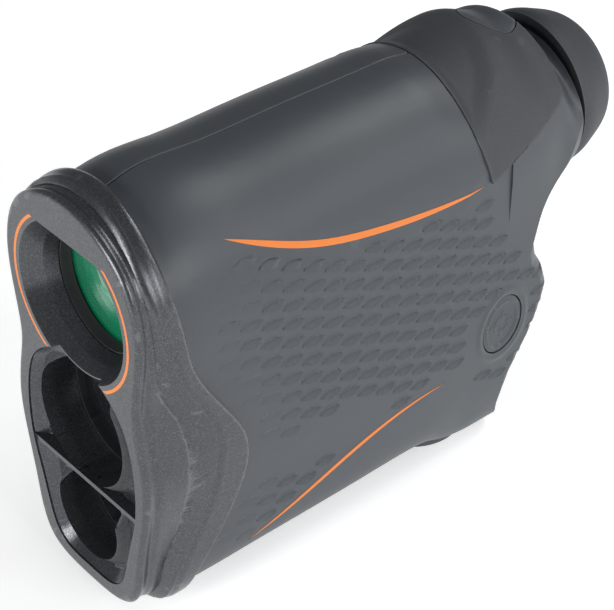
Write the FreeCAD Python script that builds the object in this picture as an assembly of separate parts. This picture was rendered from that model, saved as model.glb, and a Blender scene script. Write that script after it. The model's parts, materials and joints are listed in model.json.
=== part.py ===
import FreeCAD, Part
import functools
import math
import os

# Laser rangefinder, millimetres. Modelled with the front face at y = 0, the viewing axis along Y
# at x = 0, z = 0, the object's left side at +X and up at +Z. Export moves every piece so that the
# origin is under the middle of the object, on the plane that the battery cap rests on.

V = FreeCAD.Vector

# ---------------------------------------------------------------- overall sizes
LENGTH = 97.0            # front face to eyecup rim
BODY_HALF_WIDTH = 16.4   # casing half width at the viewing axis
CROWN_HEIGHT = 18.4      # viewing axis up to the crest of the hump
HEEL_DEPTH = 54.6        # viewing axis down to the base
CORNER_RADIUS = 5.6      # upright rear corners of the grip
CORNER_MARGIN = 0.4      # how far the corner arcs start outside the flanks
SIDE_SPLAY = 6.0         # how much wider the rear outline is at its front end

# ---------------------------------------------------------------- casing
WALL = 1.6               # casing wall
COLLAR_PROUD = 0.9       # how far the bezel collar stands out of the casing
FACE_THICKNESS = 6.5     # bezel front wall
RIB_THICKNESS = 0.8      # bar between the two lower windows
SADDLE_THICKNESS = 1.3
SADDLE_PROUD = 0.25
STRIPE_DEPTH = 0.4
STRIPE_PROUD = 0.05
BOSS_RADIUS = 2.1
SCREW_RADIUS = 0.9
SCREW_HEAD_RADIUS = 1.6
SCREW_HEAD_THICKNESS = 1.1

# ---------------------------------------------------------------- optics
LENS_CLEARANCE = 0.05
TUBE_WALL = 0.9
OBJECTIVE_RADIUS = 9.9
OBJECTIVE_BULGE = 1.4    # dome height of the objective's front face
RECEIVER_RADIUS = 9.6
EMITTER_RADIUS = 6.8
THIN_TUBE_WALL = 0.6
TUBE_GAP = 0.1           # between neighbouring tubes
RECEIVER_DROP = 22.0     # receiver axis below the viewing axis
SHROUD_RADIUS = 12.5     # mouth of the viewing shroud
SHROUD_FLAT = 10.4       # height of the flat top of the mouth
TRIM_RADIUS = 13.5       # orange arcs
TRIM_WIDTH = 0.5
TRIM_DEPTH = 0.5
EYE_TUBE_RADIUS = 10.7
EYE_BORE_RADIUS = 9.8
EYE_LENS_RADIUS = 8.6
EYECUP_HOLE = 8.2
RUN_CLEARANCE = 0.05     # running and sliding fits

# ---------------------------------------------------------------- controls
BUTTON_GAP = 0.2
FIRE_TRAVEL = 0.6
FIRE_HALF_WIDTH = 4.6
FIRE_HALF_LENGTH = 4.4
FIRE_BOTTOM = 14.2       # underside of the fire button above the viewing axis
MODE_TRAVEL = 0.5
MODE_HALF_LENGTH = 4.1
MODE_HALF_HEIGHT = 5.6
SWITCH_SIZE = 4.0

# ---------------------------------------------------------------- battery, CR2 size
BATTERY_RADIUS = 7.8
BATTERY_LENGTH = 27.0
BATTERY_CLEARANCE = 0.15
BATTERY_TUBE_WALL = 0.55
CAP_LIP = 0.1            # cap radius beyond the battery tube
CAP_THICKNESS = 2.4
CAP_GAP = 0.1
TAB_THICKNESS = 0.9
TAB_GAP = 0.12

# ---------------------------------------------------------------- electronics
BOARD_THICKNESS = 1.0
LANYARD_BORE_RADIUS = 1.5
LANYARD_LENGTH = 5.0

KX = BODY_HALF_WIDTH / 16.4
KY = LENGTH / 97.0
KZ = HEEL_DEPTH / 54.6

TUBE_RADIUS = OBJECTIVE_RADIUS + LENS_CLEARANCE + TUBE_WALL
RECEIVER_TUBE = RECEIVER_RADIUS + LENS_CLEARANCE + THIN_TUBE_WALL
EMITTER_TUBE = EMITTER_RADIUS + LENS_CLEARANCE + THIN_TUBE_WALL
RECEIVER_Z = -RECEIVER_DROP * KZ
EMITTER_Z = RECEIVER_Z - RECEIVER_TUBE - TUBE_GAP - EMITTER_TUBE
RIB_Z = RECEIVER_Z - RECEIVER_TUBE - TUBE_GAP / 2

FAR = 60.0               # half size of cutting blocks, past every face


# ---------------------------------------------------------------- profiles
# Each profile is a short list of (place, value) stations joined by a smooth curve.

CROWN = [(0, 17.4), (16, 17.5), (40, 17.4), (58, 17.2), (64, 16.45), (69, 17.3), (73.5, 18.15),
         (77.5, 17.0), (82, 15.3), (88, 13.4)]
SIDE = [(0, 16.4), (60, 16.4), (68, 16.1), (76, 15.4), (82, 14.4), (88, 13.4)]
FLANK = [(0, 15.7), (50, 15.7), (66, 15.6), (76, 15.2), (88, 14.6)]
LOWER_FLANK = [(0, 15.0), (50, 15.0), (64, 14.9), (76, 14.7), (88, 14.4)]
FOOT_WIDTH = [(0, 14.0), (50, 13.8), (58, 13.5), (66, 12.6), (88, 12.4)]
FOOT_RADIUS = [(0, 6.0), (56, 6.2), (66, 7.0), (88, 7.0)]
KEEL = [(0, 51.4), (30, 50.9), (54, 50.4), (59, 51.3), (64, 53.8), (68, 54.4), (88, 54.4)]
# rear wall of the grip: (height, y), from the level of the neck down to the base
REAR = [(4.0, 74.5), (-10.0, 76.8), (-14.0, 78.2), (-17.5, 79.2), (-20.5, 79.8), (-24.0, 81.8),
        (-27.0, 82.6), (-31.0, 81.6), (-37.0, 79.4), (-43.0, 77.3), (-48.0, 76.2), (-52.5, 75.5),
        (-55.0, 74.7)]
# flare of the neck below the eyecup: (y, radius)
NECK = [(70.0, 44.0), (75.0, 26.0), (76.8, 20.8), (78.0, 18.5), (80.0, 16.8), (82.0, 15.8),
        (85.0, 14.5), (87.0, 13.6), (89.0, 13.2)]
# seam between bezel and casing, and crest of the bezel collar: (height, y)
SEAM = [(22.0, 6.7), (12.0, 5.9), (0.3, 7.2), (-6.7, 9.0), (-11.8, 11.7), (-16.6, 14.7),
        (-21.5, 17.5), (-26.5, 18.5), (-32.0, 17.5), (-38.8, 14.3), (-44.5, 10.6), (-60.0, 9.6)]
CREST = [(22.0, 5.0), (12.0, 3.4), (0.0, 4.4), (-7.2, 6.1), (-14.4, 10.1), (-19.2, 12.1),
         (-24.4, 12.6), (-30.0, 11.8), (-34.1, 10.5), (-42.7, 6.6), (-60.0, 6.4)]
# front face outline below the round top: (height, half width)
FACE_OUTLINE = [(6.3, 15.2), (0.0, 15.9), (-5.0, 15.3), (-9.0, 14.6), (-13.0, 14.2), (-18.0, 15.0),
                (-25.0, 15.9), (-31.0, 15.3), (-37.0, 14.1), (-42.0, 13.2), (-46.7, 12.2)]
FACE_CORNER = [(-50.2, 10.2), (-51.9, 7.0), (-52.4, 3.5)]
# lower window outline: (height, half width)
WINDOW_OUTLINE = [(-12.0, 7.4), (-15.5, 10.9), (-20.0, 12.6), (-24.5, 13.2), (-28.5, 13.2),
                  (-32.5, 12.7), (-38.0, 11.2), (-44.0, 9.6), (-47.6, 8.0)]
WINDOW_CORNER = [(-49.3, 5.6), (-49.7, 3.0)]
# side outline of the saddle pad: (y, height)
SADDLE_OUTLINE = [(62.6, 30.0), (62.6, 14.0), (63.4, 8.0), (65.4, 0.3), (83.6, 7.2), (84.6, 14.0),
                  (84.6, 30.0)]
# centre lines of the orange stripes: (y, height), and their greatest widths
UPPER_STRIPE = [(17.0, 10.6), (21.8, 8.4), (31.8, 4.5), (43.0, 2.0), (54.7, 0.6), (63.8, 0.4)]
LOWER_STRIPE = [(20.0, -46.4), (26.6, -44.4), (34.0, -41.6), (41.7, -38.8), (49.7, -36.6),
                (59.0, -35.6)]
UPPER_STRIPE_WIDTH = 1.1
LOWER_STRIPE_WIDTH = 0.8

SECTION_PLACES = [0, 10, 22, 34, 46, 54, 59, 62, 65, 68, 71, 73.5, 76, 79, 83, 88]
REAR_LEVELS = [21.0, 4.0, -5.0, -10.0, -14.0, -17.5, -20.5, -23.5, -26.5, -30.0, -35.0, -42.0, -49.0,
               -56.0]
SIDE_LEVELS = [-7.0, -15.0, -23.0, -31.0, -38.0]
ARC_ANGLES = [0, 18, 36, 54, 72, 88]

FIRE_Y = 78.4 * KY
MODE_Y = 70.6 * KY
MODE_Z = -29.4 * KZ
GROOVE_Y = 87.4 * KY     # end of the neck
CUP_Y = 88.3 * KY        # front edge of the eyecup


def along(stations, place):
    """Smooth value of a profile at a place, flat past its ends."""
    pts = sorted(stations)
    if place <= pts[0][0]:
        return pts[0][1]
    if place >= pts[-1][0]:
        return pts[-1][1]
    gaps = [b[0] - a[0] for a, b in zip(pts, pts[1:])]
    rise = [(b[1] - a[1]) / g for a, b, g in zip(pts, pts[1:], gaps)]
    slopes = [rise[0]]
    for left, right in zip(rise, rise[1:]):
        same_way = left * right > 0
        slopes.append(2 * left * right / (left + right) if same_way else 0.0)
    slopes.append(rise[-1])
    i = max(k for k in range(len(gaps)) if pts[k][0] <= place)
    t = (place - pts[i][0]) / gaps[i]
    start = (1 + 2 * t) * (1 - t) ** 2 * pts[i][1] + t * (1 - t) ** 2 * gaps[i] * slopes[i]
    end = t * t * (3 - 2 * t) * pts[i + 1][1] - t * t * (1 - t) * gaps[i] * slopes[i + 1]
    return start + end


def closed_curve(points):
    curve = Part.BSplineCurve()
    curve.interpolate(Points=points, PeriodicFlag=True)
    return Part.Wire([curve.toShape()])


def mirrored_wire(half, y):
    """Closed smooth wire at y from (x, z) points that run down one side, first and last at x = 0."""
    ring = half + [(-x, z) for x, z in reversed(half[1:-1])]
    return closed_curve([V(x, y, z) for x, z in ring])


def side_width(place, level, grow=0.0):
    """Casing half width at a station along the length and a level below the viewing axis."""
    floor = -along(KEEL, place) + along(FOOT_RADIUS, place)
    levels = [(floor, along(FOOT_WIDTH, place)), (-33.0, along(LOWER_FLANK, place)),
              (-22.0, along(FLANK, place)), (0.0, along(SIDE, place))]
    return KX * along(levels, level) + grow


def body_points(place, grow):
    """Half outline of the casing at a station, moved outwards by grow."""
    half = []
    crown = along(CROWN, place) * CROWN_HEIGHT / 18.4
    side = along(SIDE, place) * KX
    for angle in ARC_ANGLES:
        a = math.radians(angle)
        radius = side + (crown - side) * math.cos(a) ** 2 + grow
        half.append((radius * math.sin(a), radius * math.cos(a)))
    for level in SIDE_LEVELS:
        half.append((side_width(place, level, grow), level * KZ))
    radius = along(FOOT_RADIUS, place)
    centre_x = along(FOOT_WIDTH, place) * KX - radius
    centre_z = -along(KEEL, place) * KZ + radius
    for angle in (5, 35, 65, 90):
        a = math.radians(angle)
        reach = radius + grow
        half.append((centre_x + reach * math.cos(a), centre_z - reach * math.sin(a)))
    half.append((0.0, centre_z - radius - grow))
    return half


@functools.lru_cache(maxsize=None)
def casing_run(grow):
    """Casing shape along its length, open ended at the back."""
    wires = [mirrored_wire(body_points(p, grow), p * KY) for p in SECTION_PLACES]
    return Part.makeLoft(wires, True, False)


def rear_run(inset):
    """Everything in front of the grip's rear wall, with rounded upright corners and splayed sides."""
    wires = []
    front = -5.0
    for level in REAR_LEVELS:
        half = side_width(76.0, min(level, -14.0)) + CORNER_MARGIN - inset
        wide = half + SIDE_SPLAY
        back = along(REAR, level) * KY - inset
        radius = CORNER_RADIUS - inset
        tip = radius * math.sqrt(0.5)
        z = level * KZ
        centre = V(half - radius, back - radius, z)
        left_arc = Part.Arc(V(half, back - radius, z), centre + V(tip, tip, 0), V(half - radius, back, z))
        right_arc = Part.Arc(V(radius - half, back, z), V(-centre.x - tip, centre.y + tip, z),
                             V(-half, back - radius, z))
        edges = [Part.LineSegment(V(wide, front, z), V(half, back - radius, z)).toShape(),
                 left_arc.toShape(),
                 Part.LineSegment(V(half - radius, back, z), V(radius - half, back, z)).toShape(),
                 right_arc.toShape(),
                 Part.LineSegment(V(-half, back - radius, z), V(-wide, front, z)).toShape(),
                 Part.LineSegment(V(-wide, front, z), V(wide, front, z)).toShape()]
        wires.append(Part.Wire(edges))
    return Part.makeLoft(wires, True, True)


def neck_flare(grow):
    """Round neck that spreads into the grip."""
    curve = Part.BSplineCurve()
    curve.interpolate([V(radius + grow, y * KY, 0) for y, radius in NECK])
    first = curve.StartPoint
    last = curve.EndPoint
    edges = [curve.toShape(), Part.makeLine(last, V(0, last.y, 0)),
             Part.makeLine(V(0, last.y, 0), V(0, first.y, 0)), Part.makeLine(V(0, first.y, 0), first)]
    return Part.Face(Part.Wire(edges)).revolve(V(0, 0, 0), V(0, 1, 0), 360)


@functools.lru_cache(maxsize=None)
def casing_solid(grow):
    """Whole outer shape of the casing, moved outwards by grow."""
    grip = rear_run(-grow).fuse(neck_flare(grow))
    return casing_run(grow).common(grip)


# ---------------------------------------------------------------- helpers
def cylinder_y(radius, start, end, z=0.0, x=0.0):
    return Part.makeCylinder(radius, end - start, V(x, start, z), V(0, 1, 0))


def tube_y(outer, inner, start, end, z=0.0):
    return cylinder_y(outer, start, end, z).cut(cylinder_y(inner, start - 1, end + 1, z))


def cone_y(start_radius, end_radius, start, end, z=0.0):
    return Part.makeCone(start_radius, end_radius, end - start, V(0, start, z), V(0, 1, 0))


def cylinder_z(radius, bottom, top, y, x=0.0):
    return Part.makeCylinder(radius, top - bottom, V(x, y, bottom))


def block(low, high):
    return Part.makeBox(high[0] - low[0], high[1] - low[1], high[2] - low[2], V(*low))


def side_prism(outline, low_x=-FAR, high_x=FAR):
    """Solid of a (y, z) outline pushed across the object."""
    points = [V(low_x, y, z) for y, z in outline]
    wire = Part.makePolygon(points + points[:1])
    return Part.Face(wire).extrude(V(high_x - low_x, 0, 0))


def behind(profile):
    """Everything behind a (height, y) profile."""
    points = [V(-FAR, y * KY, z * KZ) for z, y in profile]
    curve = Part.BSplineCurve()
    curve.interpolate(points)
    top = V(-FAR, 3 * FAR, points[0].z)
    bottom = V(-FAR, 3 * FAR, points[-1].z)
    edges = [curve.toShape(), Part.makeLine(points[-1], bottom), Part.makeLine(bottom, top),
             Part.makeLine(top, points[0])]
    return Part.Face(Part.Wire(edges)).extrude(V(2 * FAR, 0, 0))


def oval_prism(half_length, half_height, y, z, low_x, high_x):
    """Solid with an upright oval outline, pushed along X."""
    ellipse = Part.Ellipse(V(low_x, y, z), half_height, half_length)
    ellipse.Axis = V(1, 0, 0)
    ellipse.XAxis = V(0, 0, 1)
    face = Part.Face(Part.Wire([ellipse.toShape()]))
    return face.extrude(V(high_x - low_x, 0, 0))


def oval_column(half_width, half_length, y, bottom, top):
    """Solid with a level oval outline, pushed along Z."""
    long_way = max(half_width, half_length)
    short_way = min(half_width, half_length)
    ellipse = Part.Ellipse(V(0, y, bottom), long_way, short_way)
    ellipse.XAxis = V(1, 0, 0) if half_width >= half_length else V(0, 1, 0)
    face = Part.Face(Part.Wire([ellipse.toShape()]))
    return face.extrude(V(0, 0, top - bottom))


PIECES = {}


def keep(name, shape):
    """Stores a finished piece under its node name."""
    if shape.ShapeType == "Compound" and len(shape.Solids) == 1:
        shape = shape.Solids[0]
    PIECES[name] = shape


def left_half(shape):
    return shape.common(block((0, -FAR, -2 * FAR), (FAR, 4 * FAR, FAR)))


def right_half(shape):
    return shape.common(block((-FAR, -FAR, -2 * FAR), (0, 4 * FAR, FAR)))


# ---------------------------------------------------------------- places that pieces share
BATTERY_TUBE_INNER = BATTERY_RADIUS + BATTERY_CLEARANCE
BATTERY_TUBE_OUTER = BATTERY_TUBE_INNER + BATTERY_TUBE_WALL
CAP_RADIUS = BATTERY_TUBE_OUTER + CAP_LIP
BASE_Z = -HEEL_DEPTH
BATTERY_Y = along(REAR, -52.0) * KY - WALL - BATTERY_TUBE_OUTER
CAP_TOP = BASE_Z + CAP_THICKNESS
TUBE_BOTTOM = CAP_TOP + CAP_GAP
BATTERY_BOTTOM = TUBE_BOTTOM + 1.2
BATTERY_TOP = BATTERY_BOTTOM + BATTERY_LENGTH
TUBE_TOP = BATTERY_TOP + 2.6
BOARD_X = BATTERY_TUBE_OUTER + 0.7
BOARD_FRONT = 37.0 * KY
BOARD_BACK = BATTERY_Y + BATTERY_TUBE_OUTER - 1.0
BOARD_LOW = -44.0 * KZ
BOARD_HIGH = -17.0 * KZ
OBJECTIVE_FRONT = FACE_THICKNESS - 0.6
TUBE_FRONT = FACE_THICKNESS + 0.1
TUBE_BACK = 38.0 * KY
RECEIVER_BACK = 33.0 * KY
EMITTER_BACK = 24.0 * KY
BULKHEAD_Y = 25.5 * KY
SHELF_TOP = -TUBE_RADIUS - 2.6
SHELF_Y = RECEIVER_BACK + 2.0
PRISM_FRONT = TUBE_BACK + 3.0
PRISM_BACK = 59.0 * KY
EYE_TUBE_FRONT = 64.0 * KY
EYE_TUBE_BACK = 93.0 * KY
RING_BACK = 91.6 * KY       # end of the dioptre ring inside the eyecup
SCREW_PLACES = [(20.5 * KY, 13.3, 7.6), (56.0 * KY, 13.3, 7.6), (34.0 * KY, -44.0 * KZ, 13.6),
                (51.0 * KY, -44.0 * KZ, 13.6)]


# ---------------------------------------------------------------- bezel
def face_half():
    """Half outline of the front ring: round top, waist, bulge and rounded foot."""
    top = 17.0 * CROWN_HEIGHT / 18.4
    half = [(0.0, top)]
    for angle in (17, 34, 50):
        a = math.radians(angle)
        half.append((top * math.sin(a) * KX, top * math.cos(a)))
    half += [(w * KX, z * KZ) for z, w in FACE_OUTLINE]
    half += [(w * KX, z * KZ) for z, w in FACE_CORNER]
    half.append((0.0, FACE_CORNER[-1][0] * KZ - 0.1))
    return half


def prism_y(half, start, end):
    face = Part.Face(mirrored_wire(half, start))
    return face.extrude(V(0, end - start, 0))


def window_pocket(depth):
    """Lower window outline from its neck below the viewing shroud down to its foot."""
    half = [(0.0, WINDOW_OUTLINE[0][0] * KZ + 1.8), (4.5 * KX, WINDOW_OUTLINE[0][0] * KZ + 1.4)]
    half += [(w * KX, z * KZ) for z, w in WINDOW_OUTLINE + WINDOW_CORNER]
    half.append((0.0, WINDOW_CORNER[-1][0] * KZ - 0.05))
    return prism_y(half, -1.0, depth)


def make_bezel():
    seam = behind(SEAM)
    collar_half = body_points(9, COLLAR_PROUD)
    collar = prism_y(collar_half, 0.0, 24.0 * KY).common(behind(CREST))
    ring = prism_y(face_half(), 0.0, 16.0 * KY)
    outer = ring.fuse(collar).cut(seam)
    hollow = prism_y(body_points(9, -WALL), FACE_THICKNESS, 30.0 * KY)
    hollow = hollow.common(prism_y([(x * 0.9, z * 0.93) for x, z in face_half()], 0, 30.0 * KY))
    bezel = outer.cut(hollow)
    mouth = cone_y(SHROUD_RADIUS + 0.55, 10.8, -1.0, 3.0)
    mouth = mouth.fuse(cone_y(10.8, OBJECTIVE_RADIUS + 2 * LENS_CLEARANCE, 3.0, 5.0))
    mouth = mouth.fuse(cylinder_y(OBJECTIVE_RADIUS + 2 * LENS_CLEARANCE, 4.9, FACE_THICKNESS + 1))
    mouth = mouth.common(block((-FAR, -FAR, -FAR), (FAR, FAR, SHROUD_FLAT)))
    wells = cylinder_y(RECEIVER_TUBE - 0.2, 0, FACE_THICKNESS + 1, RECEIVER_Z)
    wells = wells.fuse(cylinder_y(EMITTER_TUBE - 0.2, 0, FACE_THICKNESS + 1, EMITTER_Z))
    bezel = bezel.cut(wells.fuse(window_pocket(2.2)))
    shroud = cylinder_y(SHROUD_RADIUS - 0.35, 1.0, FACE_THICKNESS)
    below = block((-FAR, 0, -FAR), (FAR, FAR, -RECEIVER_DROP * 0.42))
    bezel = bezel.fuse(shroud.common(below)).cut(mouth)
    half_rib = RIB_THICKNESS / 2
    rib = block((-12.9 * KX, 0.3, RIB_Z - half_rib), (12.9 * KX, FACE_THICKNESS, RIB_Z + half_rib))
    bezel = bezel.fuse(rib)
    bezel = bezel.cut(trim_ring())
    keep("front_bezel", bezel)


def trim_ring():
    """Both orange arcs round the shroud's mouth."""
    outer = TRIM_RADIUS + TRIM_WIDTH / 2
    inner = TRIM_RADIUS - TRIM_WIDTH / 2
    ring = tube_y(outer, inner, 0.0, TRIM_DEPTH)
    upper = TRIM_RADIUS * math.sin(math.radians(51))
    lower = TRIM_RADIUS * math.sin(math.radians(58))
    return ring.common(block((-FAR, -1, -lower), (FAR, FAR, upper)))


def make_trim():
    arcs = trim_ring()
    keep("left_trim_arc", left_half(arcs))
    keep("right_trim_arc", right_half(arcs))


# ---------------------------------------------------------------- casing halves
def bosses():
    """Screw pillars across the casing, split by the seam with the rest."""
    pillars = []
    for y, z, _ in SCREW_PLACES:
        pillars.append(Part.makeCylinder(BOSS_RADIUS, 2 * FAR, V(-FAR, y, z), V(1, 0, 0)))
    return pillars


def screw_holes():
    holes = []
    for y, z, reach in SCREW_PLACES:
        head = SCREW_HEAD_RADIUS + 0.15
        holes.append(Part.makeCylinder(SCREW_RADIUS, reach * KX + 6, V(-reach * KX + 1, y, z), V(1, 0, 0)))
        holes.append(Part.makeCylinder(head, FAR, V(-reach * KX + 2, y, z), V(-1, 0, 0)))
    return holes


def make_screws():
    screws = []
    for y, z, reach in SCREW_PLACES:
        seat = -reach * KX + 2
        head = Part.makeCylinder(SCREW_HEAD_RADIUS, SCREW_HEAD_THICKNESS, V(seat, y, z), V(-1, 0, 0))
        slot = block((seat - FAR, y - 1.1, z - 0.2), (seat - SCREW_HEAD_THICKNESS + 0.5, y + 1.1, z + 0.2))
        cross = block((seat - FAR, y - 0.2, z - 1.1), (seat - SCREW_HEAD_THICKNESS + 0.5, y + 0.2, z + 1.1))
        shank = Part.makeCylinder(SCREW_RADIUS, reach * KX + 4, V(seat, y, z), V(1, 0, 0))
        screws.append(head.fuse(shank).cut(slot).cut(cross))
    keep("shell_screws", Part.makeCompound(screws))


def saddle_zone():
    """Side outline of the saddle pad, pushed across the object."""
    return side_prism([(y * KY, z) for y, z in SADDLE_OUTLINE])


def stripe_zone(centre_line, width):
    """Tapered band along a centre line, widest in its middle."""
    last = len(centre_line) - 1
    upper = []
    lower = []
    for i, (y, z) in enumerate(centre_line):
        half = 0.5 * width * math.sin(math.pi * i / last) ** 0.7 if 0 < i < last else 0.0
        upper.append((y * KY, z * KZ + half))
        lower.append((y * KY, z * KZ - half))
    top = Part.BSplineCurve()
    top.interpolate([V(-FAR, y, z) for y, z in upper])
    bottom = Part.BSplineCurve()
    bottom.interpolate([V(-FAR, y, z) for y, z in lower])
    wire = Part.Wire([top.toShape(), bottom.toShape()])
    return Part.Face(wire).extrude(V(2 * FAR, 0, 0))


def make_casing():
    outer = casing_solid(0.0)
    inner = casing_solid(-WALL)
    shell = outer.cut(inner)
    across = block((-FAR, TUBE_FRONT, -2 * FAR), (FAR, 4 * FAR, FAR))
    pillars = [p.common(inner).common(across) for p in bosses()]
    shell = shell.fuse(pillars).common(behind(SEAM))
    shell = shell.cut(screw_holes())
    shell = shell.cut(cylinder_y(FAR, GROOVE_Y, 3 * FAR))
    shell = shell.cut(cylinder_y(EYE_TUBE_RADIUS, 60 * KY, 2 * FAR))
    shell = shell.cut(cylinder_z(BATTERY_TUBE_OUTER, TUBE_BOTTOM, TUBE_TOP, BATTERY_Y))
    shell = shell.cut(cylinder_z(CAP_RADIUS + CAP_GAP, -2 * FAR, TUBE_BOTTOM, BATTERY_Y))
    skin = casing_solid(STRIPE_PROUD).cut(casing_solid(-STRIPE_DEPTH))
    zones = stripe_zone(UPPER_STRIPE, UPPER_STRIPE_WIDTH)
    zones = zones.fuse(stripe_zone(LOWER_STRIPE, LOWER_STRIPE_WIDTH))
    stripes = skin.common(zones)
    shell = shell.cut(stripes)
    keep("left_stripes", left_half(stripes))
    keep("right_stripes", right_half(stripes))
    crown = casing_run(SADDLE_PROUD)
    crown_floor = casing_run(SADDLE_PROUD - SADDLE_THICKNESS)
    pad = crown.cut(crown_floor).common(saddle_zone())
    shell = shell.cut(pad)
    button_hole = oval_column(FIRE_HALF_WIDTH + BUTTON_GAP, FIRE_HALF_LENGTH + BUTTON_GAP, FIRE_Y,
                              FIRE_BOTTOM - 3, FAR)
    flange_space = oval_column(FIRE_HALF_WIDTH + 0.9, FIRE_HALF_LENGTH + 0.9, FIRE_Y,
                               EYE_TUBE_RADIUS + 0.5, FIRE_BOTTOM - 0.3)
    shell = shell.cut(button_hole).cut(flange_space)
    keep("saddle_pad", pad.cut(button_hole))
    button = oval_column(FIRE_HALF_WIDTH, FIRE_HALF_LENGTH, FIRE_Y, FIRE_BOTTOM - 1.4, FAR)
    keep("fire_button", button.common(crown))
    mode_hole = oval_prism(MODE_HALF_LENGTH + BUTTON_GAP, MODE_HALF_HEIGHT + BUTTON_GAP, MODE_Y,
                           MODE_Z, 2.0, FAR)
    mode_top = outer.common(oval_prism(MODE_HALF_LENGTH, MODE_HALF_HEIGHT, MODE_Y, MODE_Z,
                                       mode_inner_x() - 0.6, FAR))
    flange = oval_prism(MODE_HALF_LENGTH + 0.8, MODE_HALF_HEIGHT + 0.8, MODE_Y, MODE_Z,
                        mode_inner_x() - 0.8, mode_inner_x() - 0.2)
    keep("mode_button", mode_top.fuse(flange))
    shell = shell.cut(mode_hole)
    shell = shell.cut(lanyard_tenon())
    keep("left_shell", left_half(shell))
    keep("right_shell", right_half(shell))


def mode_inner_x():
    """Inner face of the left casing wall behind the mode button, at its narrowest."""
    return side_width(MODE_Y / KY + MODE_HALF_LENGTH + 1, MODE_Z / KZ - MODE_HALF_HEIGHT - 1) - WALL - 0.2


# ---------------------------------------------------------------- lanyard loop
LOOP_X = -6.5
LOOP_Z = -44.0 * KZ


def lanyard_tenon():
    """Foot of the loop, set into the rear wall."""
    half = LANYARD_LENGTH / 2
    back = along(REAR, -44.0) * KY
    return block((LOOP_X - 2.2, back - WALL, LOOP_Z - half), (LOOP_X + 2.2, back + 0.2, LOOP_Z + half))


def make_lanyard_loop():
    half = LANYARD_LENGTH / 2
    back = along(REAR, -44.0) * KY
    centre = back + 2.6
    outer = LANYARD_BORE_RADIUS + 1.1
    loop = cylinder_z(outer, LOOP_Z - half, LOOP_Z + half, centre, LOOP_X)
    neck = block((LOOP_X - 2.2, back - WALL, LOOP_Z - half), (LOOP_X + 2.2, centre, LOOP_Z + half))
    loop = loop.fuse(neck).cut(casing_solid(0.0)).fuse(lanyard_tenon())
    loop = loop.cut(cylinder_z(LANYARD_BORE_RADIUS, LOOP_Z - FAR, LOOP_Z + FAR, centre, LOOP_X))
    keep("lanyard_loop", loop.removeSplitter())


# ---------------------------------------------------------------- lenses and tubes
def lens(radius, front, back, bulge, z=0.0):
    """Lens with a domed front face and a flat back."""
    ball_radius = (radius ** 2 + bulge ** 2) / (2 * bulge)
    middle = front + ball_radius - math.sqrt(ball_radius ** 2 - radius ** 2 / 4)
    dome = Part.Arc(V(0, front, 0), V(radius / 2, middle, 0), V(radius, front + bulge, 0))
    edges = [dome.toShape(), Part.makeLine(V(radius, front + bulge, 0), V(radius, back, 0)),
             Part.makeLine(V(radius, back, 0), V(0, back, 0)), Part.makeLine(V(0, back, 0), V(0, front, 0))]
    body = Part.Face(Part.Wire(edges)).revolve(V(0, 0, 0), V(0, 1, 0), 360)
    body.translate(V(0, 0, z))
    return body


def stepped_tube(outer, seat, bore, front, shoulder, back, z=0.0):
    """Tube with a wider seat in its front end."""
    body = cylinder_y(outer, front, back, z)
    body = body.cut(cylinder_y(seat, front - 1, shoulder, z))
    return body.cut(cylinder_y(bore, front, back + 1, z))


def make_optics():
    seat = OBJECTIVE_RADIUS + LENS_CLEARANCE
    back = OBJECTIVE_FRONT + 3.4
    keep("objective_lens", lens(OBJECTIVE_RADIUS, OBJECTIVE_FRONT, back, OBJECTIVE_BULGE))
    keep("objective_tube", stepped_tube(TUBE_RADIUS, seat, seat - 1.0, TUBE_FRONT, back, TUBE_BACK))
    ring_front = OBJECTIVE_FRONT - 0.7
    ring_hole = OBJECTIVE_RADIUS - 0.7
    ring = cylinder_y(OBJECTIVE_RADIUS, ring_front, OBJECTIVE_FRONT + 0.9)
    ring = ring.cut(cone_y(OBJECTIVE_RADIUS - 0.15, ring_hole, ring_front - 0.2, OBJECTIVE_FRONT + 1.0))
    ball = (OBJECTIVE_RADIUS ** 2 + OBJECTIVE_BULGE ** 2) / (2 * OBJECTIVE_BULGE)
    ring = ring.cut(Part.makeSphere(ball, V(0, OBJECTIVE_FRONT - 0.02 + ball, 0)))
    keep("objective_retainer", ring)
    seat = RECEIVER_RADIUS + LENS_CLEARANCE
    front = TUBE_FRONT + 0.3
    keep("receiver_lens", lens(RECEIVER_RADIUS, front, front + 2.8, 0.9, RECEIVER_Z))
    keep("receiver_tube", stepped_tube(RECEIVER_TUBE, seat, seat - 0.9, TUBE_FRONT, front + 2.8,
                                       RECEIVER_BACK, RECEIVER_Z))
    seat = EMITTER_RADIUS + LENS_CLEARANCE
    keep("emitter_lens", lens(EMITTER_RADIUS, front, front + 2.4, 0.8, EMITTER_Z))
    keep("emitter_tube", stepped_tube(EMITTER_TUBE, seat, seat - 0.9, TUBE_FRONT, front + 2.4,
                                      EMITTER_BACK, EMITTER_Z))


def make_sensor(name, radius, back, z):
    """Round can on a header, plugged into the back of its tube, with a mounting disc."""
    bore = radius - LENS_CLEARANCE - 0.9
    disc = cylinder_y(bore, back - 1.6, back, z)
    can = cylinder_y(2.8, back - 4.6, back - 1.6, z)
    legs = []
    for x in (-1.3, 1.3):
        legs.append(cylinder_y(0.25, back, back + 2.2, z, x))
    keep(name, disc.fuse(can).fuse(legs))


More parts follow.
